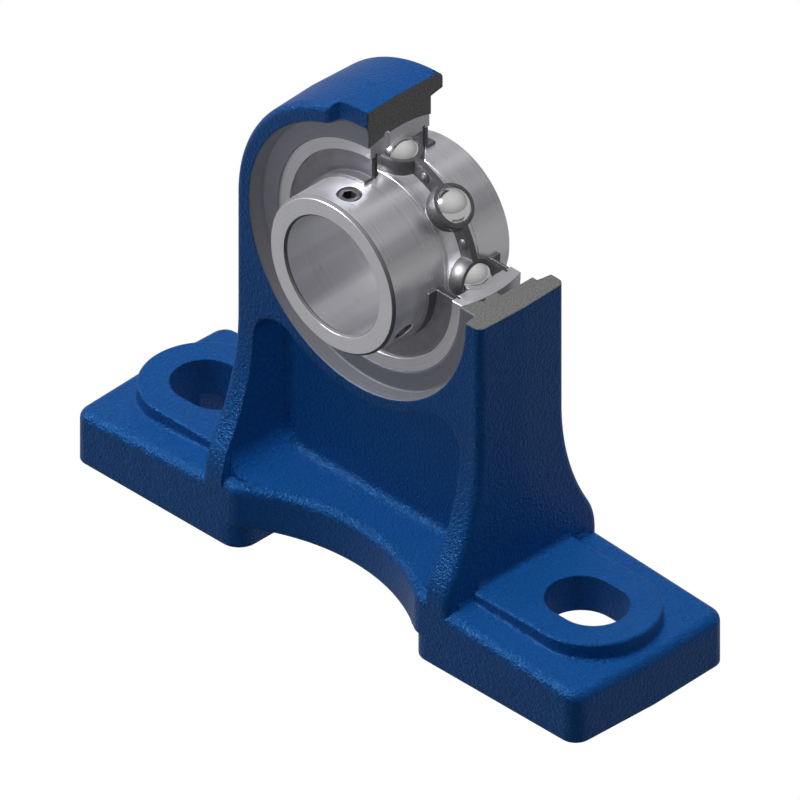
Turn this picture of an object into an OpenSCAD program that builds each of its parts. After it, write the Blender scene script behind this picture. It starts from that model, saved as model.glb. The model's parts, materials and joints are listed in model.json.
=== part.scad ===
// Pillow block bearing, shown as a cutaway: a cast housing with two slotted feet carries a
// self-aligning insert ball bearing. One quarter of the housing, of the outer ring, of the seals
// and of the flingers is cut away above the shaft centre on the right.
// X runs along the base, Y runs along the shaft (the front is -Y), Z is up. The origin is the
// centre of the footprint. Sizes are in millimetres.

/* [Housing] */
// Height of the shaft centre above the mounting face
centre_h = 90; // [80:0.5:100]
// Length of the base
base_l = 164; // [158:1:180]
// Width of the base
base_w = 49; // [46:0.5:56]
// Thickness of the base at its ends
base_t = 13.4; // [11:0.1:16]
// Fall of the top of the base towards its ends, in degrees
base_fall = 3; // [1:0.5:4]
// Radius of the upright corners of the base
base_corner = 4; // [2:0.5:6]
// Radius along the upper edges of the base
base_edge = 2.5; // [1:0.5:4]
// Draft of the casting, in degrees
draft = 2; // [1:0.5:3]
// Gap between the two feet
foot_gap = 55; // [50:1:58]
// Height of the underside between the feet
relief_h = 6.5; // [4:0.5:9]
// Radius of the upright inner corners of the feet
foot_corner = 5; // [3:0.5:6]

/* [Bolt slots] */
// Distance between the slot centres
slot_span = 121; // [118:0.5:126]
// Width of a slot
slot_w = 17; // [13:0.5:19]
// Length of a slot
slot_l = 21; // [19:0.5:24]
// Height of the pads round the slots
pad_h = 18.3; // [17.4:0.1:20]
// Radius of the round end of a pad
pad_r = 16; // [14:0.5:18]
// Distance of the round end's centre from the middle of the base
pad_end = 62.5; // [61:0.5:64]
// Radius of the edge and of the foot of a pad
pad_edge = 1.9; // [1:0.1:2]

/* [Upright] */
// Outer radius of the upright about the shaft centre
body_r = 40; // [39:0.5:42]
// Depth of the upright, front to back
body_w = 27.6; // [26:0.2:30]
// Radius along the front and back edges of the upright
body_edge = 2; // [1:0.1:2.5]
// Thickness of the side ribs
rib_t = 6.2; // [5:0.1:7]
// Height at which the ribs begin to flare
flare_top = 56; // [54:0.5:60]
// Radius of the flare
flare_r = 58; // [56:1:62]
// Thickness of the web between the pockets
web_t = 6.4; // [5:0.1:8]
// Radius of the round boss that carries the bearing
boss_r = 38; // [37.5:0.1:38.5]
// Height of the pocket floors
pocket_floor = 17.5; // [16.5:0.1:18.5]
// Radius of the upper lobes of a pocket
lobe_r = 7.5; // [6:0.5:8.5]
// Radius of the lower corners of a pocket and of its floor
floor_r = 6.5; // [5:0.5:7]
// Radius between the pocket walls and the web
wall_r = 3.4; // [2:0.2:4]
// Distance from the middle to the waisted face at the foot of a pocket
waist_y = 15.2; // [14.8:0.1:17]
// Radius of the waist in plan
waist_r = 51; // [48:1:54]

/* [Seat] */
// Width of the seat of the insert
seat_w = 20; // [19.5:0.1:21]
// Radius of the round recess at the faces of the housing
recess_r = 35; // [34:0.2:35.4]
// Radius of the recess at its floor
recess_floor_r = 34.35; // [33.6:0.05:34.4]
// Half the width of the notch in the front rim
notch_half = 8; // [6:0.5:10]
// Distance of the notched rim from the middle
notch_y = 10.4; // [10.2:0.1:12]
// Width of the slots that the insert is loaded through
load_slot_w = 19.8; // [19.5:0.1:21]
// Reach of the loading slots from the shaft axis
load_slot_r = 32.8; // [31.5:0.1:33.2]
// Clearance of the insert in its seat
seat_clear = 0.03; // [0.02:0.01:0.06]
// Radius of the grease groove and of its hole in the outer ring
grease_r = 0.9; // [0.6:0.1:1]
// Distance of the grease groove from the middle
grease_y = 4.2; // [4.1:0.1:4.6]

/* [Insert bearing] */
// Bore of the inner ring
bore_d = 30; // [28:0.5:32]
// Outside diameter of the inner ring
inner_d = 40.3; // [39.8:0.1:40.6]
// Reach of the inner ring to the front
inner_front = 22.2; // [21:0.1:24]
// Reach of the inner ring to the back
inner_back = 15.9; // [14:0.1:18]
// Diameter of the spherical outer ring
outer_d = 62; // [61.9:0.1:62.2]
// Width of the outer ring
outer_w = 19; // [18.8:0.1:19.2]
// Radius inside the outer ring beside the raceway
land_r = 26; // [25.8:0.1:26.2]
// Diameter of a ball
ball_d = 9.525; // [9.2:0.005:9.6]
// Number of balls
ball_count = 8; // [7:1:8]
// Radius of the ball circle
pitch_r = 23; // [22.9:0.05:23.1]
// Radius of the raceways in section
race_r = 4.95; // [4.9:0.05:5.1]
// Running clearance between a ball and a raceway
race_clear = 0.02; // [0.01:0.01:0.03]

/* [Cage] */
// Thickness of the cage sheet
cage_t = 0.8; // [0.6:0.1:0.9]
// Inner radius of the cage
cage_in = 21; // [20.8:0.1:21.4]
// Outer radius of the cage
cage_out = 25; // [24.6:0.1:25.3]
// Clearance of a ball in its pocket
pocket_clear = 0.1; // [0.05:0.05:0.2]
// Radius of a rivet
rivet_r = 0.7; // [0.5:0.05:0.8]
// Height of a rivet head
rivet_head = 0.55; // [0.4:0.05:0.7]

/* [Seals] */
// Thickness of a seal plate
seal_t = 0.9; // [0.7:0.1:1]
// Distance of the inner face of a seal from the middle
seal_y = 7.3; // [7.2:0.1:7.4]
// Thickness of a flinger
flinger_t = 0.5; // [0.4:0.1:0.6]
// Distance of the outer end of a flinger collar from the middle
collar_end = 11.5; // [11:0.1:12.5]
// Thickness of a flinger collar
collar_t = 0.8; // [0.6:0.1:1]
// Gap between a seal and the flinger beside it
flinger_gap = 0.35; // [0.2:0.05:0.5]

/* [Set screws] */
// Radius of a set screw
screw_r = 3; // [2.5:0.1:3.5]
// Length of a set screw
screw_l = 4.4; // [4:0.1:4.6]
// Distance of the set screws from the middle
screw_y = 16.4; // [16:0.1:17.5]
// Angle between the two set screws
screw_angle = 120; // [60:5:130]
// Width across the flats of the hexagon socket
socket_w = 3; // [2.5:0.5:3]
// Depth of the hexagon socket
socket_deep = 2.4; // [2:0.1:2.6]
// Clearance of a set screw in its hole
screw_clear = 0.05; // [0.03:0.01:0.1]

/* [Hidden] */
$fn = 96;
blue = [0.07, 0.24, 0.47];
satin = [0.74, 0.75, 0.78];
chrome = [0.9, 0.9, 0.92];
dark_steel = [0.36, 0.36, 0.38];
rubber = [0.13, 0.13, 0.14];
black_steel = [0.08, 0.08, 0.1];
over = 1; // how far a cutting tool reaches past what it cuts
fit = 0.02; // clearance between pieces that sit in one another
half_l = base_l / 2;
half_w = base_w / 2;
face_y = body_w / 2;
side_face = body_r - face_y * tan(draft); // half width of the upright at its faces
pocket_x = side_face - rib_t;
foot_x = foot_gap / 2;
flare_o = face_y + flare_r; // distance of the flare's axis from the middle
end_in = half_w * tan(draft); // how far the ends of the base fall back at the corners
ball_r = ball_d / 2;
inner_r = inner_d / 2;
outer_r = outer_d / 2;
bore_r = bore_d / 2;
half_outer = outer_w / 2;
inner_race = pitch_r - ball_r - race_clear; // radius at the bottom of the inner raceway
outer_race = pitch_r + ball_r + race_clear; // radius at the bottom of the outer raceway
pocket_r = ball_r + pocket_clear;
seat_r = outer_r + seat_clear;
seal_end = seal_y + seal_t;
seal_in = inner_r + 0.75; // inner radius of the flat part of a seal
seal_out = land_r + 0.3; // outer radius of a seal plate
bead_r = land_r + 1.1; // outer radius of the bead that holds the seal
flinger_y = seal_end + flinger_gap;
flinger_r = land_r + 0.1;
web_half = web_t / 2;
ball_step = 360 / ball_count;
screw_top = inner_r - 0.35; // outer end of a set screw, just under the ring's surface
BALLS = [for (i = [1:ball_count]) str("ball_", i)];
RIVETS = [for (i = [1:ball_count]) str("rivet_", i)];

function unit(v) = v / norm(v);
function along(p, q, d) = p + unit(q - p) * d;

// Half the angle at p between the directions to a and b
function half_angle(p, a, b) = acos(unit(a - p) * unit(b - p)) / 2;

// The sliver between the corner p and an arc of radius r that touches the sides towards a and b.
// Taken away it rounds an outer corner, added it fills an inner one.
module corner(p, a, b, r) {
    h = half_angle(p, a, b);
    m = unit(unit(a - p) + unit(b - p));
    c = p + m * r / sin(h);
    difference() {
        polygon([p - m * r / 2, along(p, a, r / tan(h)), c, along(p, b, r / tan(h))]);
        translate(c) circle(r);
    }
}

// The sliver outside an arc of radius r that touches the line y = level from above and the
// circle of radius big about o from outside, on the side where x is positive
module arc_corner(o, big, level, r) {
    c = [o[0] + sqrt(pow(big + r, 2) - pow(level + r - o[1], 2)), level + r];
    p = [o[0] + sqrt(pow(big, 2) - pow(level - o[1], 2)), level];
    difference() {
        polygon([p + (p - c) / 4, [c[0], level], c, o + (c - o) * big / (big + r)]);
        translate(c) circle(r);
    }
}

// Turns a flat drawing of X and Z into a slab between two values of Y
module along_y(from, to) {
    translate([0, to, 0]) rotate([90, 0, 0]) linear_extrude(to - from) children();
}

// Turns a flat drawing of Y and Z into a slab between two values of X
module along_x(from, to) {
    translate([from, 0, 0]) rotate([90, 0, 90]) linear_extrude(to - from) children();
}

// Turns a flat drawing of radius and Y about the shaft axis
module about_shaft() {
    translate([0, 0, centre_h]) rotate([-90, 0, 0]) rotate_extrude() children();
}

// Turns a flat drawing of radius and Y to the front when side is -1
module facing(side) {
    mirror([0, side < 0 ? 1 : 0]) children();
}

// The quarter that the cutaway leaves out
module quarter() {
    translate([0, -half_w - over, centre_h]) cube([body_r + over, base_w + 2 * over, body_r + over]);
}

module both_sides() {
    children();
    mirror([1, 0, 0]) children();
}

module both_faces() {
    children();
    mirror([0, 1, 0]) children();
}

// Plan of the right half of the base, with its drafted end and its round corners
module half_plan() {
    tip = [half_l, 0];
    front = [half_l - end_in, -half_w];
    back = [half_l - end_in, half_w];
    difference() {
        polygon([[0, -half_w], front, tip, back, [0, half_w]]);
        corner(front, [0, -half_w], tip, base_corner);
        corner(back, tip, [0, half_w], base_corner);
    }
}

// Section across the base, with round upper edges
module base_section() {
    left = [-half_w, 0];
    right = [half_w, 0];
    difference() {
        translate([-half_w, -2 * base_t]) square([base_w, 2 * base_t]);
        corner(left, [0, 0], [-half_w, -over], base_edge);
        corner(right, [0, 0], [half_w, -over], base_edge);
    }
}

// Side view of the right foot: flat below, falling towards the end above
module foot_profile() {
    inner_top = [foot_x, base_t + (half_l - foot_x) * tan(base_fall)];
    end_top = [half_l, base_t];
    difference() {
        polygon([[foot_x, 0], [half_l, 0], end_top, inner_top]);
        corner(end_top, [half_l, 0], inner_top, base_edge);
    }
}

module foot() {
    intersection() {
        linear_extrude(2 * base_t) half_plan();
        along_y(-half_w - over, half_w + over) foot_profile();
        translate([half_l, 0, base_t]) rotate([0, base_fall, 0])
            along_x(-base_l, over) base_section();
    }
}

// The raised pad round a slot. Its edge is round above and hollow where it meets the base.
module pad_section() {
    low = pad_h - 2 * pad_edge;
    difference() {
        translate([0, base_t / 2]) square([pad_r, pad_h - base_t / 2]);
        corner([pad_r, pad_h], [0, pad_h], [pad_r, 0], pad_edge);
    }
    corner([pad_r, low], [pad_r + over, low], [pad_r, pad_h], pad_edge);
    translate([0, base_t / 2]) square([pad_r + pad_edge, low - base_t / 2]);
}

module pad() {
    inside = pocket_x + rib_t / 2;
    intersection() {
        union() {
            translate([pad_end, 0, 0]) rotate_extrude() pad_section();
            along_x(inside, pad_end) {
                pad_section();
                mirror([1, 0]) pad_section();
            }
        }
        translate([inside, -half_w, base_t / 2]) cube([half_l, base_w, base_t]);
    }
}

// Section through the rim of the upright: the outside is drafted from the middle to both faces
module rim_section(top) {
    front = [side_face, -face_y];
    back = [side_face, face_y];
    middle = [body_r, 0];
    difference() {
        polygon([[0, -face_y], front, middle, back, [0, face_y]]);
        corner(front, [0, -face_y], middle, body_edge);
        corner(back, middle, [0, face_y], body_edge);
    }
}

// The upper part of the upright, round above the shaft centre
module upper_body() {
    about_shaft() rim_section();
    translate([0, 0, flare_top]) linear_extrude(centre_h - flare_top) {
        rim_section();
        mirror([1, 0]) rim_section();
    }
}

// Section across the flared front of the upright: distance from the flare's axis and X
module flare_section() {
    deep = flare_o + body_r;
    left = [flare_r, -side_face];
    right = [flare_r, side_face];
    difference() {
        polygon([left, [flare_o, -body_r], [deep, -body_r], [deep, body_r], [flare_o, body_r],
            right]);
        corner(left, right, [flare_o, -body_r], body_edge);
        corner(right, left, [flare_o, body_r], body_edge);
    }
}

// The front half of the lower part of the upright, which flares to the width of the base
module lower_body_front() {
    difference() {
        intersection() {
            translate([0, -flare_o, flare_top]) rotate([0, 90, 0])
                rotate_extrude() flare_section();
            translate([-body_r, -half_w, relief_h - over])
                cube([2 * body_r, half_w, flare_top - relief_h + over]);
        }
        along_x(-body_r - over, body_r + over)
            flare_blend();
    }
}

// The sliver that blends the flare into the front face of the base, in Y and Z
module flare_blend() {
    blend = 8;
    rotate(-90) arc_corner([-flare_top, -flare_o], flare_r, -half_w, blend);
}

// Outline of a pocket, seen from the front: straight ribs and floor, and lobes that run
// into the round boss
lobe_x = pocket_x - lobe_r;
lobe_z = centre_h - sqrt(pow(boss_r + lobe_r, 2) - pow(lobe_x, 2));
lobe_turn = atan2(centre_h - lobe_z, lobe_x); // direction from the boss to a lobe, below level

module pocket_prism(inset, from, to) {
    along_y(from, to) difference() {
        union() {
            translate([-pocket_x + inset, pocket_floor + floor_r])
                square([2 * (pocket_x - inset), lobe_z - pocket_floor - floor_r]);
            translate([-pocket_x + floor_r, pocket_floor + inset])
                square([2 * (pocket_x - floor_r), lobe_z - pocket_floor - inset]);
            for (side = [-1, 1]) {
                translate([side * (pocket_x - floor_r), pocket_floor + floor_r])
                    circle(floor_r - inset);
                translate([side * lobe_x, lobe_z]) circle(lobe_r - inset);
            }
            // between the lobes and the boss
            polygon([[-lobe_x, lobe_z], [lobe_x, lobe_z], [0, centre_h]]);
        }
        translate([0, centre_h]) circle(boss_r + inset);
    }
}

// The front pocket, cut back to the web with a round edge along its walls
module pocket() {
    round_y = -web_half - wall_r;
    pocket_prism(0, -half_w - over, round_y);
    pocket_prism(wall_r, -half_w, -web_half);
}

// The hollow between the floor of a pocket and the web
module floor_cove() {
    inner = [-web_half, pocket_floor];
    along_x(-pocket_x - over / 2, pocket_x + over / 2)
        corner(inner, [-half_w, pocket_floor], [-web_half, centre_h], floor_r);
}

// The waist in front of a pocket, with round upright edges and a round upper edge
module waist() {
    axis = [0, -waist_y - waist_r];
    translate([0, 0, -over]) linear_extrude(pocket_floor + 2 * over) {
        translate(axis) circle(waist_r);
        arc_corner(axis, waist_r, -half_w, foot_corner);
        mirror([1, 0]) arc_corner(axis, waist_r, -half_w, foot_corner);
    }
    edge = [waist_r, pocket_floor];
    translate([0, axis[1], 0]) rotate([0, 0, 50]) rotate_extrude(angle = 80)
        corner(edge, [waist_r, 0], [waist_r + over, pocket_floor], base_edge);
}

// The inner end of a foot: the relief under the base with its round corners
module relief() {
    left = [-foot_x, relief_h];
    right = [foot_x, relief_h];
    along_y(-half_w - over, half_w + over) difference() {
        translate([-foot_x, -over]) square([foot_gap, relief_h + over]);
        corner(left, right, [-foot_x, 0], base_edge);
        corner(right, left, [foot_x, 0], base_edge);
    }
}

module foot_corners() {
    both_sides() both_faces() translate([0, 0, -over]) linear_extrude(relief_h + over)
        corner([foot_x, -half_w], [half_l, -half_w], [foot_x, 0], foot_corner);
}

module slot_hole() {
    reach = (slot_l - slot_w) / 2;
    translate([slot_span / 2, 0, -over]) {
        translate([reach, 0, 0]) cylinder(h = pad_h + 2 * over, r = slot_w / 2);
        translate([-reach, 0, 0]) cylinder(h = pad_h + 2 * over, r = slot_w / 2);
        translate([-reach, -slot_w / 2, 0]) cube([2 * reach, slot_w, pad_h + 2 * over]);
    }
}

// The spherical seat of the insert and the round recesses beside it
module seat() {
    floor_y = seat_w / 2;
    slope = (recess_r - recess_floor_r) / (face_y - floor_y);
    mouth_r = recess_r + over * slope;
    about_shaft() {
        intersection() {
            circle(seat_r);
            translate([0, -floor_y - over]) square([seat_r, seat_w + 2 * over]);
        }
        polygon([[0, floor_y], [recess_floor_r, floor_y], [mouth_r, face_y + over],
            [0, face_y + over]]);
        polygon([[0, -floor_y], [0, -face_y - over], [mouth_r, -face_y - over],
            [recess_floor_r, -floor_y]]);
        translate([sqrt(pow(seat_r, 2) - pow(grease_y, 2)), -grease_y]) circle(grease_r);
    }
}

// The slots at the back that the insert is turned in through
module loading_slots() {
    intersection() {
        translate([0, 0, centre_h]) rotate([-90, 0, 0])
            cylinder(h = seat_w / 2 + over / 2, r = load_slot_r);
        translate([-body_r, 0, centre_h - load_slot_w / 2])
            cube([2 * body_r, body_w, load_slot_w]);
    }
}

// The notch in the front rim, above the recess
module rim_notch() {
    translate([-notch_half, -face_y - over, centre_h + recess_floor_r - 2 * over])
        cube([2 * notch_half, face_y + over - notch_y, body_r]);
}

// The hollow where the side of the upright meets the pad and the top of the foot
module side_coves() {
    fall = tan(base_fall);
    foot_top = base_t + (half_l - side_face) * fall;
    pad_corner = [side_face, pad_h];
    foot_corner_at = [side_face, foot_top];
    along_y(-pad_r + pad_edge, pad_r - pad_edge)
        corner(pad_corner, [half_l, pad_h], [side_face, centre_h], base_edge);
    along_y(-half_w + base_edge, half_w - base_edge)
        corner(foot_corner_at, [half_l, base_t], [side_face, centre_h], base_edge);
}

module housing() {
    color(blue) difference() {
        union() {
            difference() {
                union() {
                    upper_body();
                    both_faces() lower_body_front();
                    both_sides() foot();
                }
                both_faces() pocket();
            }
            both_faces() floor_cove();
            both_sides() pad();
            both_sides() side_coves();
        }
        both_faces() waist();
        relief();
        foot_corners();
        both_sides() slot_hole();
        seat();
        loading_slots();
        rim_notch();
        quarter();
    }
}

// Section of the outer ring: spherical outside, a raceway and two seal grooves inside
module outer_section() {
    shut_y = seal_end + fit;
    difference() {
        intersection() {
            circle(outer_r);
            translate([land_r, -half_outer]) square([outer_r, outer_w]);
        }
        translate([outer_race - race_r, 0]) circle(race_r);
        for (side = [-1, 1]) facing(side) {
            translate([land_r - over, seal_y - fit])
                square([bead_r + fit - land_r + over, seal_t - 0.2 + 2 * fit]);
            translate([land_r - over, seal_y]) square([seal_out + fit - land_r + over, half_outer]);
        }
    }
}

module outer_ring() {
    color(satin) difference() {
        about_shaft() outer_section();
        translate([0, -grease_y, centre_h + land_r - over]) cylinder(h = outer_r, r = grease_r * 0.9);
        quarter();
    }
}

// Section of the inner ring: a raceway and a fine groove on each side of it
module inner_section() {
    rim = 0.7;
    lip = 0.5;
    line_y = 5.2;
    front = -inner_front;
    difference() {
        polygon([[bore_r, front + lip], [bore_r + lip, front], [inner_r - rim, front],
            [inner_r, front + rim], [inner_r, inner_back - rim], [inner_r - rim, inner_back],
            [bore_r + lip, inner_back], [bore_r, inner_back - lip]]);
        translate([inner_race + race_r, 0]) circle(race_r);
        for (side = [-1, 1]) translate([inner_r, side * line_y]) square(0.35, center = true);
    }
}

// Places what is drawn along +Z from the shaft axis at set screw i
module at_screw(i) {
    translate([0, -screw_y, centre_h]) rotate([0, i * screw_angle, 0]) children();
}

module inner_ring() {
    color(satin) difference() {
        about_shaft() inner_section();
        for (i = [0, 1]) at_screw(i) translate([0, 0, bore_r - over])
            cylinder(h = inner_r - bore_r + 2 * over, r = screw_r);
    }
}

// Set screw with a hexagon socket and a cup point
module set_screw(i) {
    body = screw_r - screw_clear;
    point = 0.8;
    color(black_steel) at_screw(i) translate([0, 0, screw_top - screw_l]) difference() {
        union() {
            cylinder(h = point, r1 = body - point, r2 = body);
            translate([0, 0, point]) cylinder(h = screw_l - point - lead, r = body);
            translate([0, 0, screw_l - lead]) cylinder(h = lead, r1 = body, r2 = body - lead);
        }
        translate([0, 0, screw_l - socket_deep])
            cylinder(h = socket_deep + over, r = socket_w / sqrt(3), $fn = 6);
        translate([0, 0, -over]) cylinder(h = over + 0.5, r1 = 1.1 + over, r2 = 0.6);
    }
}
lead = 0.4; // chamfer at the outer end of a set screw

// A seal: a plate with a bead in the outer ring and a lip that runs on the inner ring
module seal(side) {
    lip_r = inner_r + 0.05;
    bead_end = seal_end - 0.2;
    color(rubber) difference() {
        about_shaft() facing(side)
            polygon([[lip_r, seal_end], [lip_r, seal_end - 0.3], [lip_r + 0.3, seal_y + 0.1],
                [seal_in, seal_y - 0.35], [seal_in + 1.5, seal_y], [bead_r, seal_y],
                [bead_r, bead_end], [seal_out, bead_end], [seal_out, seal_end]]);
        quarter();
    }
}

// A flinger: a disc beside the seal with a collar pressed on the inner ring
module flinger(side) {
    color(dark_steel) difference() {
        about_shaft() facing(side)
            polygon([[inner_r, flinger_y], [flinger_r, flinger_y],
                [flinger_r, flinger_y + flinger_t], [inner_r + collar_t, flinger_y + flinger_t],
                [inner_r + collar_t, collar_end], [inner_r, collar_end]]);
        quarter();
    }
}

// Places what is drawn along +Z from the shaft axis at ball i, counted from the top
module at_ball(i) {
    translate([0, 0, centre_h]) rotate([0, i * ball_step, 0]) children();
}

module ball(i) {
    color(chrome) at_ball(i) translate([0, 0, pitch_r]) sphere(ball_r);
}

// A sphere on the ball circle with its poles to the front and the back
module upright_sphere(r) {
    translate([0, 0, pitch_r]) rotate([90, 25, 0]) sphere(r);
}

// Half of the cage: flat between the balls and bulged round them. Side is -1 for the front.
module cage(side) {
    shell_r = pocket_r + cage_t;
    color(dark_steel) difference() {
        intersection() {
            about_shaft() facing(side)
                translate([cage_in, 0]) square([cage_out - cage_in, shell_r + over]);
            union() {
                about_shaft() facing(side)
                    translate([cage_in - over, 0])
                        square([cage_out - cage_in + 2 * over, cage_t]);
                for (i = [0:ball_count - 1]) at_ball(i) upright_sphere(shell_r);
            }
        }
        for (i = [0:ball_count - 1]) {
            at_ball(i) upright_sphere(pocket_r);
            at_ball(i + 0.5) translate([0, 0, pitch_r]) rotate([90, 0, 0])
                cylinder(h = 4 * cage_t, r = rivet_r + fit, center = true);
        }
    }
}

// Rivet i, between ball i and the next, with a round head on each half of the cage
module rivet(i) {
    head_r = 2 * rivet_r;
    dome = (pow(head_r, 2) + pow(rivet_head, 2)) / (2 * rivet_head); // radius of the head
    color(dark_steel) at_ball(i + 0.5) translate([0, 0, pitch_r]) rotate([90, 0, 0]) {
        cylinder(h = 2 * cage_t + rivet_head, r = rivet_r, center = true);
        for (side = [0, 1]) mirror([0, 0, side]) intersection() {
            translate([0, 0, cage_t + rivet_head - dome]) sphere(dome);
            translate([0, 0, cage_t]) cylinder(h = dome, r = 2 * head_r);
        }
    }
}

housing();
outer_ring();
inner_ring();
seal(-1);  // seal_front
seal(1);  // seal_back
flinger(-1);  // flinger_front
flinger(1);  // flinger_back
cage(-1);  // cage_front
cage(1);  // cage_back
set_screw(0);  // set_screw_1
set_screw(1);  // set_screw_2
for (i = [0:ball_count - 1]) {
    ball(i);
    rivet(i);
}
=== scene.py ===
"""Pillow block bearing, shown as a cutaway: materials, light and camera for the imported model.

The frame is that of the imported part: X along the base, Y along the shaft with the front at -Y,
Z up, and the origin at the centre of the footprint. The scene is in metres. Only the sizes of the
housing are typed in millimetres, as in the construction, and loft() turns them into metres.
"""

import json
import math

import bmesh
import bpy
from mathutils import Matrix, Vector


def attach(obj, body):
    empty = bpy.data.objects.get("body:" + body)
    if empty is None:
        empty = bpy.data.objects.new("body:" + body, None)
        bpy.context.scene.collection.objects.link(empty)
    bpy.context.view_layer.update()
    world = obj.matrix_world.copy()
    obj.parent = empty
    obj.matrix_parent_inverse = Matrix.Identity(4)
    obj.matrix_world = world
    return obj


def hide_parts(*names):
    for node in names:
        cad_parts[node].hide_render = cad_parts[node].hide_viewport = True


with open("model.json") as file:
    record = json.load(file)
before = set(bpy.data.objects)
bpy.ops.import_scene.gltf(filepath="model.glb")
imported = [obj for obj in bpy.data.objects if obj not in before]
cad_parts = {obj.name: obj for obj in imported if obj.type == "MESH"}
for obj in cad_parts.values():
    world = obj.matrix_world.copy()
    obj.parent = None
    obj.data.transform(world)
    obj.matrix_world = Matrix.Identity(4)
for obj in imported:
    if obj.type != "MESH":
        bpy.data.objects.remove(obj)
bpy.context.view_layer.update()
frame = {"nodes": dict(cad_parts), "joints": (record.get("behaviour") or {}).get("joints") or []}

# The shaft axis from the frame, and the places where a material changes, in metres
shaft_z = next(joint["pos_m"][2] for joint in frame["joints"] if joint["name"] == "shaft_spin")
recess_r = 0.03506  # the machined recess in a face of the boss
inner_ring_r = 0.02015  # outside of the inner ring
bore_r = 0.0150  # bore of the inner ring
ring_front = -0.0214  # the inner ring's front face lies before this
outer_shade_line = 0.0006  # width of the painted shade line round the outer edge of the inner ring's front face
bore_shade_line = 0.00045  # width of the painted shade line round the bore at the front face
skin = 0.00005  # how deep the bare iron of a cut face shows

# Camera: parallel, from the front right and above, as in the photograph
camera_turn = 45.0
camera_rise = 35.264
camera_width = 0.18277
camera_aim = Vector((0.0, 0.0, 0.04426))
camera_far = 1.2

# Sizes of the housing in millimetres, as in the construction
centre_h = 90.0  # height of the shaft axis
half_l = 82.0  # half length of the base
half_w = 24.5  # half width of the base
base_t = 13.4  # height of a foot at its end
fall = math.tan(math.radians(3.0))  # slope of a foot's top
draft = math.tan(math.radians(2.0))  # slope of the cast sides
body_r = 40.0  # round top, and outside of the ribs
face_y = 13.8  # half depth of the round top
side_face = body_r - face_y * draft  # the round top at its faces
pocket_x = side_face - 6.2  # side wall of a pocket
edge_r = 2.5  # upper edges of the base
rib_edge = 2.0  # edges of a rib
floor_z = 17.5  # floor of the pockets
floor_r = 6.5  # lower corners of a pocket
lobe_r = 7.5  # upper corners of a pocket
boss_r = 38.0  # round wall of a pocket, under the boss
web_half = 3.2  # half thickness of the web
web_cove = 2.5  # cove between the web and the walls of a pocket
foot_x = 27.5  # inner side of a foot
foot_corner = 5.0  # upright inner corners of a foot
foot_end_r = 4.0  # upright corners at the end of a foot
relief_h = 6.5  # gap under the middle of the base
waist_r = 51.0  # waist of the base
waist_o = 66.2  # distance of the waist's axis from the middle
flare_top = 56.0  # height where the ribs begin to flare
flare_r = 62.0  # flare of the ribs
blend_r = 16.0  # blend between the flare and the face of the base
pad_end = 62.5  # middle of a pad's round end
pad_r = 16.0  # round end of a pad
pad_h = 18.3  # height of a pad's top
pad_edge = 0.7  # upper edge of a pad
pad_cove = 0.9  # cove at the foot of a pad
side_cove_r = 1.6  # cove between a rib's side and the foot
slot_in = 58.5  # middle of the slot's inner end
slot_out = 62.5  # middle of the slot's outer end
slot_r = 8.5
hollow_in = 34.0  # inner end of the hollow under a foot
hollow_out = 69.5  # outer end of that hollow
hollow_y = 18.5  # half width of that hollow
hollow_h = 8.7  # height of that hollow
hollow_corner = 5.0  # upright corners of that hollow
seat_r = 31.03  # spherical seat
seat_half = 10.0  # half width of the seat
recess_in = 34.35  # radius of a recess beside the seat
recess_out = 35.17  # radius of a recess past the face
groove_y = -4.2  # middle of the grease groove
groove_r = 0.9
over = 1.0  # how far a cut reaches past what it cuts
past = 30.0  # a depth past both faces


def add_camera():
    """The parallel camera of the photograph."""
    data = bpy.data.cameras.new("camera")
    data.type = "ORTHO"
    data.ortho_scale = camera_width
    data.clip_end = 10.0
    camera = bpy.data.objects.new("camera", data)
    bpy.context.collection.objects.link(camera)
    turn = math.radians(camera_turn)
    rise = math.radians(camera_rise)
    back = Vector((math.sin(turn) * math.cos(rise), -math.cos(turn) * math.cos(rise), math.sin(rise)))
    camera.location = camera_aim + back * camera_far
    camera.rotation_euler = back.to_track_quat("Z", "Y").to_euler()
    bpy.context.scene.camera = camera


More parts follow.
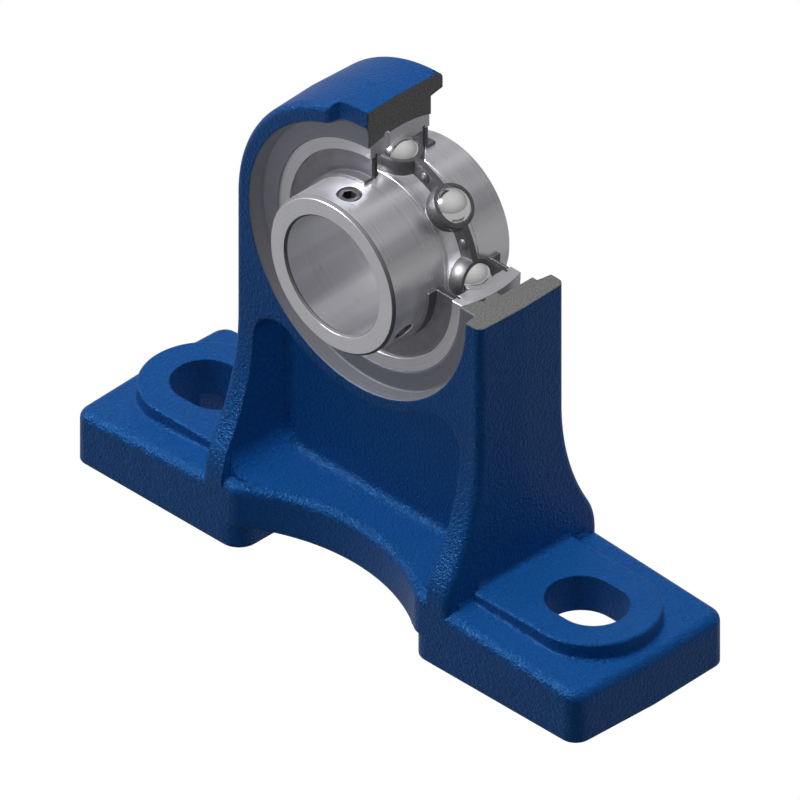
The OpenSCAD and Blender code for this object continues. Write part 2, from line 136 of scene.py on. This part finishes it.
class Nodes:
    """The node tree of one material around a Principled shader, built by short calls."""

    def __init__(self, name):
        self.material = bpy.data.materials.new(name)
        self.material.use_nodes = True
        self.tree = self.material.node_tree
        self.tree.nodes.clear()
        self.out = self.tree.nodes.new("ShaderNodeOutputMaterial")
        self.shader = self.tree.nodes.new("ShaderNodeBsdfPrincipled")
        self.link(self.shader.outputs[0], self.out.inputs[0])
        self.place = self.tree.nodes.new("ShaderNodeTexCoord").outputs["Object"]

    def link(self, source, target):
        self.tree.links.new(source, target)

    def put(self, socket, value):
        """Join a node's output to a socket, or set the socket to a plain value."""
        if isinstance(value, bpy.types.NodeSocket):
            self.link(value, socket)
        else:
            socket.default_value = value

    def set(self, name, value):
        """Put a node's output or a plain value on a socket of the shader."""
        self.put(self.shader.inputs[name], value)

    def math(self, operation, a, b=0.0):
        node = self.tree.nodes.new("ShaderNodeMath")
        node.operation = operation
        self.put(node.inputs[0], a)
        self.put(node.inputs[1], b)
        return node.outputs[0]

    def split(self):
        """X, Y and Z of the place on the part."""
        node = self.tree.nodes.new("ShaderNodeSeparateXYZ")
        self.link(self.place, node.inputs[0])
        return node.outputs[0], node.outputs[1], node.outputs[2]

    def join(self, x, y, z):
        node = self.tree.nodes.new("ShaderNodeCombineXYZ")
        for socket, value in zip(node.inputs, (x, y, z)):
            self.put(socket, value)
        return node.outputs[0]

    def noise(self, size, detail=3.0, place=None, rough=0.55):
        """Noise with features of about the given size in metres, from 0 to 1."""
        node = self.tree.nodes.new("ShaderNodeTexNoise")
        self.put(node.inputs["Vector"], place or self.place)
        node.inputs["Scale"].default_value = 1.0 / size
        node.inputs["Detail"].default_value = detail
        node.inputs["Roughness"].default_value = rough
        return node.outputs["Fac"]

    def ramp(self, value, low, high, from_low=0.0, from_high=1.0):
        """A value mapped from one range to another."""
        node = self.tree.nodes.new("ShaderNodeMapRange")
        self.put(node.inputs["Value"], value)
        node.inputs["From Min"].default_value = from_low
        node.inputs["From Max"].default_value = from_high
        node.inputs["To Min"].default_value = low
        node.inputs["To Max"].default_value = high
        return node.outputs[0]

    def spread(self, value):
        """Noise, which keeps to its middle, spread over 0 to 1."""
        return self.ramp(value, 0.0, 1.0, 0.3, 0.7)

    def mix(self, share, a, b):
        """A mix of two colours."""
        node = self.tree.nodes.new("ShaderNodeMix")
        node.data_type = "RGBA"
        self.put(node.inputs[0], share)
        self.put(node.inputs[6], a)
        self.put(node.inputs[7], b)
        return node.outputs[2]

    def blend(self, share, a, b):
        """A mix of two numbers."""
        node = self.tree.nodes.new("ShaderNodeMix")
        self.put(node.inputs[0], share)
        self.put(node.inputs[2], a)
        self.put(node.inputs[3], b)
        return node.outputs[0]

    def bump(self, height, depth, normal=None):
        """Relief of the given depth in metres, on the plain normal or on another one."""
        node = self.tree.nodes.new("ShaderNodeBump")
        self.put(node.inputs["Height"], height)
        node.inputs["Distance"].default_value = depth
        if normal is not None:
            self.link(normal, node.inputs["Normal"])
        return node.outputs[0]

    def bevel(self, radius):
        """A normal that rounds the edges by the given radius."""
        node = self.tree.nodes.new("ShaderNodeBevel")
        node.samples = 6
        node.inputs["Radius"].default_value = radius
        return node.outputs[0]

    def shaft_radius(self):
        """Distance from the shaft axis."""
        x, _, z = self.split()
        rise = self.math("SUBTRACT", z, shaft_z)
        total = self.math("ADD", self.math("MULTIPLY", x, x), self.math("MULTIPLY", rise, rise))
        return self.math("SQRT", total)

    def cut_face(self):
        """1 on the flat faces of the cutaway, 0 elsewhere."""
        x, _, z = self.split()
        right = self.math("GREATER_THAN", x, -skin)
        above = self.math("GREATER_THAN", z, shaft_z - skin)
        return self.math("MULTIPLY", right, above)

    def turned_lines(self, size):
        """Fine lines round the shaft axis, as a lathe or a grinder leaves them."""
        _, y, _ = self.split()
        return self.noise(size, 2.0, self.join(self.shaft_radius(), y, 0.0), 0.7)


def colour(r, g, b):
    return (r, g, b, 1.0)


def casting():
    """Blue paint over a fine cast grain, with bare iron where the part is cut or machined."""
    m = Nodes("casting")
    grain = m.noise(0.0008, 2.0)
    fine = m.noise(0.0004, 2.0)
    cloud = m.noise(0.012, 2.0)
    paint = m.mix(m.spread(grain), colour(0.004, 0.055, 0.210), colour(0.008, 0.080, 0.300))
    paint = m.mix(m.ramp(cloud, 0.0, 0.3, 0.3, 0.7), paint, colour(0.009, 0.078, 0.285))
    cut = m.mix(m.spread(fine), colour(0.080, 0.079, 0.074), colour(0.215, 0.212, 0.200))
    lines = m.turned_lines(0.0004)
    machined = m.mix(lines, colour(0.125, 0.125, 0.138), colour(0.21, 0.21, 0.228))
    _, _, z = m.split()
    underside = m.math("LESS_THAN", z, skin)
    bored = m.math("LESS_THAN", m.shaft_radius(), recess_r)
    cut_face = m.cut_face()
    turned = m.math("MAXIMUM", underside, bored)
    bare = m.math("MAXIMUM", cut_face, turned)
    base = m.mix(turned, paint, machined)
    m.set("Base Color", m.mix(cut_face, base, cut))
    m.set("Roughness", m.blend(bare, m.ramp(grain, 0.25, 0.35), m.ramp(fine, 0.5, 0.62)))
    m.set("Metallic", m.math("MULTIPLY", turned, 0.2))
    m.set("IOR", 1.25)
    m.set("Specular Tint", colour(0.04, 0.38, 1.0))
    height = m.math("ADD", grain, m.math("MULTIPLY", fine, 0.25))
    height = m.blend(bare, height, m.math("MULTIPLY", fine, 0.3))
    m.set("Normal", m.bump(height, 0.00042, m.bevel(0.0009)))
    return m.material


def ground_steel(name, dark, light, smooth, rough):
    """Ground bearing steel with fine lines round the axis: its nodes, colour, roughness and spots."""
    m = Nodes(name)
    lines = m.turned_lines(0.00035)
    spots = m.noise(0.006, 2.0)
    ground = m.mix(m.spread(lines), dark, light)
    wear = m.math("ADD", lines, m.math("MULTIPLY", spots, 0.5))
    roughness = m.ramp(wear, smooth, rough, 0.4, 1.1)
    m.set("Metallic", 0.75)
    m.set("Normal", m.bump(lines, 0.00001, m.bevel(0.0003)))
    return m, ground, roughness, spots


def ring_steel():
    """Ground steel of the outer ring, with plain sawn faces at the cut."""
    dark = colour(0.42, 0.42, 0.45)
    light = colour(0.52, 0.52, 0.55)
    m, ground, roughness, spots = ground_steel("ring_steel", dark, light, 0.26, 0.42)
    cut = m.mix(spots, colour(0.44, 0.44, 0.47), colour(0.50, 0.50, 0.53))
    m.set("Base Color", m.mix(m.cut_face(), ground, cut))
    m.set("Roughness", roughness)
    return m.material


def inner_steel():
    """Ground steel of the inner ring, with painted reflections as bright bands, a front face painted
    lighter as if lit, and painted shade in the bore and as dark lines round that face's edges.
    """
    dark = colour(0.40, 0.40, 0.43)
    light = colour(0.50, 0.50, 0.53)
    m, ground, roughness, _ = ground_steel("inner_steel", dark, light, 0.24, 0.40)
    x, y, z = m.split()
    radius = m.shaft_radius()
    across_x = m.math("DIVIDE", x, radius)
    across_z = m.math("DIVIDE", m.math("SUBTRACT", z, shaft_z), radius)
    # Painted reflections: broad bright bands that change with the angle round the shaft.
    painted_reflection_bands = m.noise(0.55, 1.0, m.join(across_x, m.math("MULTIPLY", y, 2.0), across_z))
    ground = m.mix(m.ramp(painted_reflection_bands, 0.0, 0.8, 0.40, 0.60), ground, colour(0.78, 0.78, 0.81))
    # Painted light: the whole front face gets a lighter colour, as if lit.
    front = m.math("LESS_THAN", y, ring_front)
    ground = m.mix(front, ground, colour(0.74, 0.74, 0.78))
    # Painted shade: near-black lines round the outer edge and the bore edge of the front face, made
    # rougher there so they show no highlight.
    outer = m.math("GREATER_THAN", radius, inner_ring_r - outer_shade_line)
    bored = m.math("LESS_THAN", radius, bore_r + bore_shade_line)
    edge = m.math("MULTIPLY", front, m.math("MAXIMUM", outer, bored))
    # Painted shade: the bore is made a little darker along its whole length.
    ground = m.mix(m.math("MULTIPLY", bored, 0.2), ground, colour(0.22, 0.22, 0.24))
    m.set("Base Color", m.mix(m.math("MULTIPLY", edge, 0.85), ground, colour(0.02, 0.02, 0.02)))
    m.set("Roughness", m.math("MAXIMUM", roughness, m.math("MULTIPLY", edge, 0.8)))
    return m.material


def ball_steel():
    """Polished balls."""
    m = Nodes("ball_steel")
    haze = m.noise(0.004, 2.0)
    m.set("Base Color", m.mix(haze, colour(0.90, 0.90, 0.91), colour(0.97, 0.97, 0.98)))
    m.set("Metallic", 1.0)
    m.set("Roughness", m.ramp(haze, 0.07, 0.13))
    return m.material


def sheet_steel(name, dark, light, rough):
    """Pressed sheet of the flingers and the cage: dull, with a faint mottle."""
    m = Nodes(name)
    mottle = m.noise(0.0025, 3.0)
    lines = m.turned_lines(0.0006)
    share = m.ramp(m.math("ADD", mottle, lines), 0.0, 1.0, 0.7, 1.3)
    m.set("Base Color", m.mix(share, dark, light))
    m.set("Metallic", 0.6)
    m.set("Roughness", m.ramp(mottle, rough, rough + 0.14))
    m.set("Normal", m.bump(mottle, 0.00001, m.bevel(0.0002)))
    return m.material


def seal_rubber():
    """Black rubber with a little dust."""
    m = Nodes("seal_rubber")
    dust = m.noise(0.0018, 4.0)
    m.set("Base Color", m.mix(dust, colour(0.012, 0.012, 0.014), colour(0.03, 0.03, 0.033)))
    m.set("Roughness", m.ramp(dust, 0.5, 0.7))
    m.set("Normal", m.bump(dust, 0.00003))
    return m.material


def screw_steel():
    """Blackened steel of the set screws."""
    m = Nodes("screw_steel")
    mottle = m.noise(0.0012, 3.0)
    m.set("Base Color", m.mix(mottle, colour(0.005, 0.005, 0.006), colour(0.014, 0.014, 0.016)))
    m.set("Metallic", 0.1)
    m.set("Roughness", m.ramp(mottle, 0.42, 0.58))
    m.set("Normal", m.bump(mottle, 0.00001, m.bevel(0.00015)))
    return m.material


def arc(centre, radius, start, end, count=8):
    """Points on an arc from one angle to another, in degrees."""
    points = []
    for i in range(count + 1):
        angle = math.radians(start + (end - start) * i / count)
        points.append((centre[0] + radius * math.cos(angle), centre[1] + radius * math.sin(angle)))
    return points


def rounded(corners, count=8):
    """An outline from corners (x, y, radius), where a radius puts an arc in place of the corner."""
    points = []
    for i, (x, y, radius) in enumerate(corners):
        here = Vector((x, y))
        if not radius:
            points.append((x, y))
            continue
        before = (Vector(corners[i - 1][:2]) - here).normalized()
        after = (Vector(corners[(i + 1) % len(corners)][:2]) - here).normalized()
        half = before.angle(after) / 2
        centre = here + (before + after).normalized() * radius / math.sin(half)
        start = here + before * radius / math.tan(half) - centre
        end = here + after * radius / math.tan(half) - centre
        first = math.degrees(math.atan2(start.y, start.x))
        turn = (math.degrees(math.atan2(end.y, end.x)) - first + 180.0) % 360.0 - 180.0
        points += arc(centre, radius, first, first + turn, count)
    return points


def loft(name, layers):
    """A closed solid through layers of equally many points, in millimetres, with flat ends."""
    mesh = bmesh.new()
    rings = []
    for layer in layers:
        rings.append([mesh.verts.new([value * 0.001 for value in point]) for point in layer])
    count = len(rings[0])
    for low, high in zip(rings, rings[1:]):
        for i in range(count):
            mesh.faces.new((low[i - 1], low[i], high[i], high[i - 1]))
    mesh.faces.new(rings[0])
    mesh.faces.new(list(reversed(rings[-1])))
    bmesh.ops.remove_doubles(mesh, verts=mesh.verts[:], dist=1e-8)
    bmesh.ops.recalc_face_normals(mesh, faces=mesh.faces[:])
    bmesh.ops.triangulate(mesh, faces=mesh.faces[:])
    data = bpy.data.meshes.new(name)
    mesh.to_mesh(data)
    mesh.free()
    return bpy.data.objects.new(name, data)


def upright(outline, low, high):
    """Layers of a plan outline between two heights."""
    return [[(x, y, z) for x, y in outline] for z in (low, high)]


def across(outline, low, high):
    """Layers of an outline in X and Z between two values of Y."""
    return [[(x, y, z) for x, z in outline] for y in (low, high)]


def mirrored(layers, x=1, y=1):
    """The layers with X or Y turned round, where the sign given for it is -1."""
    return [[(x * px, y * py, pz) for px, py, pz in layer] for layer in layers]


def quarter_turn(radius, count=8):
    """Steps of a rounded edge: how far it has come in, and how far it is below its end."""
    steps = []
    for i in range(count + 1):
        angle = math.radians(90.0 * i / count)
        steps.append((radius * (1 - math.cos(angle)), radius * (1 - math.sin(angle))))
    return steps


def top_at(x):
    """Height of the falling top of a foot."""
    return base_t + (half_l - x) * fall


def side_profile():
    """Half depth of the upright at each height: the face of the base, a blend and the flare."""
    flare_o = face_y + flare_r
    blend_y = half_w - blend_r
    blend_z = flare_top - math.sqrt((flare_r + blend_r) ** 2 - (flare_o - blend_y) ** 2)
    meet = math.degrees(math.atan2(flare_top - blend_z, flare_o - blend_y))
    profile = [(half_w, 0.0)]
    profile += arc((blend_y, blend_z), blend_r, 0.0, meet, 12)
    profile += arc((flare_o, flare_top), flare_r, 180.0 + meet, 180.0, 28)[1:]
    return profile


def rib_section(depth):
    """Section through a rib: distance from the middle or the shaft, and depth."""
    least = 0.02  # keeps the two points at the outside apart
    deep = max(depth - face_y, least)
    inner = pocket_x - 0.4
    return rounded([(inner, -depth, 0), (side_face, -depth, rib_edge), (body_r, -deep, 0),
                    (body_r, deep, 0), (side_face, depth, rib_edge), (inner, depth, 0)])


def arch():
    """Both ribs and the round top over them as one run of sections."""
    steps = 72
    layers = [[(-r, y, z) for r, y in rib_section(depth)] for depth, z in side_profile()]
    section = rib_section(face_y)
    for i in range(steps + 1):
        turn = math.radians(180.0 - 180.0 * i / steps)
        layers.append([(r * math.cos(turn), y, centre_h + r * math.sin(turn)) for r, y in section])
    right = [[(r, y, z) for r, y in rib_section(depth)] for depth, z in side_profile()]
    return layers + right[::-1]


def pocket_outline(inset):
    """Outline of a pocket in X and Z, moved in from its walls."""
    lobe_x = pocket_x - lobe_r
    drop = math.sqrt((boss_r + lobe_r) ** 2 - lobe_x ** 2)
    lobe_z = centre_h - drop
    turn = math.degrees(math.atan2(drop, lobe_x))
    wall = pocket_x - inset
    corner_r = floor_r - inset
    points = arc((-wall + corner_r, floor_z + floor_r), corner_r, 270.0, 180.0)
    points += arc((-lobe_x, lobe_z), lobe_r - inset, 180.0, turn, 16)
    points += arc((0.0, centre_h), boss_r + inset, 180.0 + turn, 360.0 - turn, 40)[1:-1]
    points += arc((lobe_x, lobe_z), lobe_r - inset, 180.0 - turn, 0.0, 16)
    points += arc((wall - corner_r, floor_z + floor_r), corner_r, 360.0, 270.0)
    return points


def pocket():
    """What a front pocket takes away, with a cove round the web."""
    layers = [[(x, -half_w - over, z) for x, z in pocket_outline(0.0)]]
    for inset, short in quarter_turn(web_cove):
        layers.append([(x, -web_half - short, z) for x, z in pocket_outline(inset)])
    return layers


def sill_outline(inset):
    """Plan of the middle of the base, waisted at the front and the back."""
    y = half_w - foot_corner
    x = math.sqrt((waist_r + foot_corner) ** 2 - (waist_o - y) ** 2)
    turn = math.degrees(math.atan2(waist_o - y, x))
    end = pocket_x + over
    front = [(-end, inset - half_w)]
    front += arc((-x, -y), foot_corner - inset, 270.0, 360.0 - turn)
    front += arc((0.0, -waist_o), waist_r + inset, 180.0 - turn, turn, 40)[1:-1]
    front += arc((x, -y), foot_corner - inset, 180.0 + turn, 270.0)
    front.append((end, inset - half_w))
    return front + [(px, -py) for px, py in reversed(front)]


def sill():
    """The middle of the base up to the floor of the pockets, with a round upper edge."""
    layers = [[(x, y, 0.0) for x, y in sill_outline(0.0)]]
    for inset, short in quarter_turn(edge_r):
        layers.append([(x, y, floor_z - short) for x, y in sill_outline(inset)])
    return layers


def foot_outline(inset):
    """Plan of a foot, whose end face comes to a blunt point."""
    start = foot_x + foot_corner - 1.2
    side = half_w - inset
    end = half_l - half_w * draft - inset
    corner_r = foot_end_r - inset
    return rounded([(start, -side, 0), (end, -side, corner_r), (half_l - inset, 0.0, 0),
                    (end, side, corner_r), (start, side, 0)])


def foot():
    """A foot that falls towards its end, with round upper edges."""
    layers = [[(x, y, 0.0) for x, y in foot_outline(0.0)]]
    for inset, short in quarter_turn(edge_r):
        layers.append([(x, y, top_at(x) - short) for x, y in foot_outline(inset)])
    return layers


def pocket_corner():
    """Stock beside a rib, from which a pocket leaves the round at its floor."""
    start = pocket_x - floor_r - 0.5
    end = pocket_x + 1.0
    deep = half_w - edge_r
    under = 0.1  # keeps it inside the rib and joined to the sill
    top = floor_z + floor_r + 1.0
    steps = [(deep, floor_z - under)]
    steps += [(min(d - under, deep), z) for d, z in side_profile() if floor_z < z < top]
    return [[(start, -d, z), (end, -d, z), (end, d, z), (start, d, z)] for d, z in steps]


def side_cove(low, half):
    """A cove between the side of a rib and what it stands on."""
    inner = body_r - 1.0
    outline = [(inner, low - 1.0), (body_r + side_cove_r, low - 1.0)]
    outline += arc((body_r + side_cove_r, low + side_cove_r), side_cove_r, 270.0, 180.0, 6)
    outline.append((inner, low + side_cove_r))
    return across(outline, -half, half)


def pad_outline(offset):
    """Plan of a pad, grown by the offset."""
    radius = pad_r + offset
    start = pocket_x + 2.0
    return [(start, -radius)] + arc((pad_end, 0.0), radius, -90.0, 90.0, 48) + [(start, radius)]


def pad():
    """The raised pad round a slot, with a small cove at its foot."""
    layers = [[(x, y, top_at(x) - over) for x, y in pad_outline(pad_cove)]]
    for inset, short in quarter_turn(pad_cove):
        layers.append([(x, y, top_at(x) + inset) for x, y in pad_outline(short)])
    for inset, short in quarter_turn(pad_edge, 5):
        layers.append([(x, y, pad_h - short) for x, y in pad_outline(-inset)])
    return layers


def seat():
    """What the seat, its grease groove and the two round recesses take away."""
    at = math.degrees(math.asin(groove_y / seat_r))
    half = math.degrees(groove_r / seat_r)
    edge = math.degrees(math.asin(seat_half / seat_r))
    groove = (seat_r * math.cos(math.radians(at)), groove_y)
    profile = [(recess_out, -face_y - over), (recess_in, -seat_half)]
    profile += arc((0.0, 0.0), seat_r, -edge, at - half, 6)
    profile += arc(groove, groove_r, at - 80.0, at + 80.0, 6)
    profile += arc((0.0, 0.0), seat_r, at + half, edge, 12)
    profile += [(recess_in, seat_half), (recess_out, face_y + over)]
    layers = []
    for radius, y in profile:
        layers.append([(x, y, z) for x, z in arc((0.0, centre_h), radius, 0.0, 357.5, 143)])
    return layers


def loading_slots():
    """What the slots at the back take away, through which the insert is turned in."""
    radius = 32.8
    half_h = 9.9
    deep = 10.5
    turn = math.degrees(math.asin(half_h / radius))
    outline = arc((0.0, centre_h), radius, -turn, turn)
    outline += arc((0.0, centre_h), radius, 180.0 - turn, 180.0 + turn)
    return across(outline, 0.0, deep)


def rim_notch():
    """What the notch in the front rim takes away. Its side runs out in an S."""
    low = centre_h + 30.0
    high = centre_h + 45.0
    front = -face_y - over
    start_x = -12.1
    bend_y = -12.1
    bend_r = 1.7
    floor_y = -10.4
    bend = arc((-10.9, bend_y), bend_r, -45.0, 0.0, 4) + arc((-7.5, bend_y), bend_r, 180.0, 90.0, 6)
    outline = [(start_x, front)] + bend + [(over, floor_y), (over, front)]
    return upright(outline, low, high)


def foot_corner_cut():
    """What rounds an upright inner corner of a foot."""
    at = foot_x + foot_corner
    outline = [(foot_x - over, -half_w - over), (at, -half_w - over)]
    outline += arc((at, foot_corner - half_w), foot_corner, 270.0, 180.0)
    outline.append((foot_x - over, foot_corner - half_w))
    return upright(outline, -over, relief_h)


def plate():
    """The middle of the housing, between the faces of the round top."""
    reach = pocket_x + 2.0
    low = 12.0
    outline = arc((0.0, centre_h), reach, 0.0, 180.0, 48) + [(-reach, low), (reach, low)]
    return across(outline, -face_y, face_y)


def relief():
    """What is taken away under the middle of the base."""
    outline = rounded([(-foot_x, -over, 0), (-foot_x, relief_h, edge_r),
                       (foot_x, relief_h, edge_r), (foot_x, -over, 0)])
    return across(outline, -past, past)


def hollow():
    """What is taken away under a foot."""
    outline = rounded([(hollow_in, -hollow_y, hollow_corner), (hollow_out, -hollow_y, hollow_corner),
                       (hollow_out, hollow_y, hollow_corner), (hollow_in, hollow_y, hollow_corner)])
    return upright(outline, -over, hollow_h)


def bolt_slot():
    """What the slot for a bolt takes away."""
    high = 20.0
    outline = arc((slot_out, 0.0), slot_r, -90.0, 90.0, 24)
    outline += arc((slot_in, 0.0), slot_r, 90.0, 270.0, 24)
    return upright(outline, -over, high)


def quarter():
    """The quarter that the cutaway leaves out."""
    side = 45.0
    outline = [(0.0, -past), (side, -past), (side, past), (0.0, past)]
    return upright(outline, centre_h, centre_h + side)


def waist():
    """What is taken away in front of the waist, above the floor of the pocket."""
    radius = waist_r + edge_r
    half = pocket_x - 0.5
    front = -40.0
    low = floor_z + 0.01
    high = 40.0
    turn = math.degrees(math.acos(half / radius))
    outline = arc((0.0, -waist_o), radius, turn, 180.0 - turn, 40) + [(-half, front), (half, front)]
    return upright(outline, low, high)


def use_modifiers(piece):
    """Give a piece the mesh that its modifiers make, and remove them."""
    bpy.context.view_layer.update()
    shown = piece.evaluated_get(bpy.context.evaluated_depsgraph_get())
    made = bpy.data.meshes.new_from_object(shown)
    piece.modifiers.clear()
    piece.data = made


def combine(piece, operation, others):
    """Add the others to the piece or take them away, exactly, and delete them."""
    group = bpy.data.collections.new(operation)
    bpy.context.scene.collection.children.link(group)
    for other in others:
        group.objects.link(other)
    cut = piece.modifiers.new(operation, "BOOLEAN")
    cut.operation = operation
    cut.solver = "EXACT"
    cut.operand_type = "COLLECTION"
    cut.collection = group
    use_modifiers(piece)
    for other in others:
        bpy.data.objects.remove(other)
    bpy.data.collections.remove(group)


def even_out(piece):
    """Join the triangles of each flat face, and shade the curved faces smoothly."""
    near = 2e-6
    flat = math.radians(0.4)
    sharp = math.radians(32.0)
    mesh = bmesh.new()
    mesh.from_mesh(piece.data)
    bmesh.ops.remove_doubles(mesh, verts=mesh.verts[:], dist=near)
    bmesh.ops.dissolve_limit(mesh, angle_limit=flat, verts=mesh.verts[:], edges=mesh.edges[:])
    bmesh.ops.recalc_face_normals(mesh, faces=mesh.faces[:])
    mesh.to_mesh(piece.data)
    mesh.free()
    piece.data.shade_smooth()
    piece.data.set_sharp_from_angle(angle=sharp)
    weigh = piece.modifiers.new("weigh", "WEIGHTED_NORMAL")
    weigh.keep_sharp = True
    use_modifiers(piece)


def cast_housing():
    """The housing with the forms of the casting that the plain solid leaves out."""
    pad_cove_half = 15.0  # half length of the cove between a rib and its pad
    foot_cove_half = 21.0  # half length of the cove between a rib and its foot
    piece = loft("housing_cast", arch())
    bpy.context.collection.objects.link(piece)
    added = [plate(), sill()]
    for side in (1, -1):
        coves = (side_cove(pad_h, pad_cove_half), side_cove(top_at(body_r), foot_cove_half))
        for layers in (foot(), pad(), pocket_corner(), *coves):
            added.append(mirrored(layers, side))
    combine(piece, "UNION", [loft("added", layers) for layers in added])
    taken = [pocket(), mirrored(pocket(), 1, -1), relief(), seat()]
    taken += [loading_slots(), rim_notch(), quarter(), waist(), mirrored(waist(), 1, -1)]
    for side in (1, -1):
        taken += [mirrored(hollow(), side), mirrored(bolt_slot(), side)]
        taken += [mirrored(foot_corner_cut(), side), mirrored(foot_corner_cut(), side, -1)]
    combine(piece, "DIFFERENCE", [loft("taken", layers) for layers in taken])
    even_out(piece)
    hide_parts("housing")
    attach(piece, "housing")
    return piece


def dress(names, material):
    """Give CAD nodes a material."""
    for name in names:
        piece = frame["nodes"][name]
        for slot in piece.material_slots:
            slot.material = material
        if not piece.material_slots:
            piece.data.materials.append(material)


def dress_part():
    """Every material, and the cast housing in place of the plain one."""
    every = list(frame["nodes"])
    paint = casting()
    dress(["housing"], paint)
    cast_housing().data.materials.append(paint)
    dress(["outer_ring"], ring_steel())
    dress(["inner_ring"], inner_steel())
    dress([n for n in every if n.startswith("ball_")], ball_steel())
    cage = sheet_steel("cage_steel", colour(0.085, 0.085, 0.092), colour(0.14, 0.14, 0.15), 0.40)
    dress([n for n in every if n.startswith(("cage_", "rivet_"))], cage)
    flinger = sheet_steel("flinger_steel", colour(0.10, 0.095, 0.108), colour(0.13, 0.127, 0.142), 0.42)
    dress([n for n in every if n.startswith("flinger_")], flinger)
    dress([n for n in every if n.startswith("seal_")], seal_rubber())
    dress([n for n in every if n.startswith("set_screw_")], screw_steel())


def add_floor():
    """A plain floor: even white to the camera, grey in reflections, dark as a source of light."""
    half = 6.0
    low = -0.0005
    grey = colour(0.1, 0.1, 0.1)
    glows = (("Is Glossy Ray", 0.42), ("Is Camera Ray", 1.0))
    mesh = bpy.data.meshes.new("floor")
    corners = [(x, y, low) for x, y in ((-half, -half), (half, -half), (half, half), (-half, half))]
    mesh.from_pydata(corners, [], [(0, 1, 2, 3)])
    floor = bpy.data.objects.new("floor", mesh)
    bpy.context.collection.objects.link(floor)
    m = Nodes("floor")
    m.tree.nodes.remove(m.shader)
    shader = m.tree.nodes.new("ShaderNodeBsdfDiffuse").outputs[0]
    shader.node.inputs["Color"].default_value = grey
    path = m.tree.nodes.new("ShaderNodeLightPath")
    for ray, strength in glows:
        glow = m.tree.nodes.new("ShaderNodeEmission")
        glow.inputs["Strength"].default_value = strength
        mix = m.tree.nodes.new("ShaderNodeMixShader")
        m.link(path.outputs[ray], mix.inputs[0])
        m.link(shader, mix.inputs[1])
        m.link(glow.outputs[0], mix.inputs[2])
        shader = mix.outputs[0]
    m.link(shader, m.out.inputs[0])
    mesh.materials.append(m.material)


def add_lamp(name, place, size, power):
    """A round lamp turned to the part. It casts no shadow, as in the photograph, and isn't reflected."""
    aim = Vector((0.0, 0.0, 0.06))
    data = bpy.data.lights.new(name, "AREA")
    data.shape = "DISK"
    data.size = size
    data.energy = power
    data.use_shadow = False
    lamp = bpy.data.objects.new(name, data)
    bpy.context.collection.objects.link(lamp)
    lamp.visible_glossy = False
    lamp.location = place
    lamp.rotation_euler = (Vector(place) - aim).to_track_quat("Z", "Y").to_euler()
    return lamp


def add_sky():
    """A sky, brighter above than at the horizon, and much brighter in reflections than as light."""
    light = (0.02, 0.08)
    reflected = (0.30, 0.74)
    world = bpy.data.worlds.new("world")
    bpy.context.scene.world = world
    world.use_nodes = True
    tree = world.node_tree
    tree.nodes.clear()
    out = tree.nodes.new("ShaderNodeOutputWorld")
    back = tree.nodes.new("ShaderNodeBackground")
    place = tree.nodes.new("ShaderNodeTexCoord")
    split = tree.nodes.new("ShaderNodeSeparateXYZ")
    tree.links.new(place.outputs["Generated"], split.inputs[0])
    path = tree.nodes.new("ShaderNodeLightPath")
    mix = tree.nodes.new("ShaderNodeMix")
    tree.links.new(path.outputs["Is Glossy Ray"], mix.inputs[0])
    for socket, (low, high) in ((2, light), (3, reflected)):
        level = tree.nodes.new("ShaderNodeMapRange")
        level.inputs["To Min"].default_value = low
        level.inputs["To Max"].default_value = high
        tree.links.new(split.outputs[2], level.inputs["Value"])
        tree.links.new(level.outputs[0], mix.inputs[socket])
    tree.links.new(mix.outputs[0], back.inputs["Strength"])
    tree.links.new(back.outputs[0], out.inputs[0])


def add_lamps():
    """Three soft lamps, and a small one that only shows as a glint."""
    add_lamp("lamp_top", (-0.2, 0.2, 1.8), 1.4, 25.5)
    add_lamp("lamp_right", (1.5, 0.3, 1.0), 0.7, 6.4)
    add_lamp("lamp_front", (-1.0, -1.1, 1.1), 0.6, 16.0)
    glint = add_lamp("lamp_glint", (-1.0, -1.0, 1.1), 0.28, 105.0)
    glint.visible_diffuse = False
    glint.visible_glossy = True


add_camera()
dress_part()
add_floor()
add_sky()
add_lamps()
bpy.context.scene.view_settings.view_transform = "Standard"
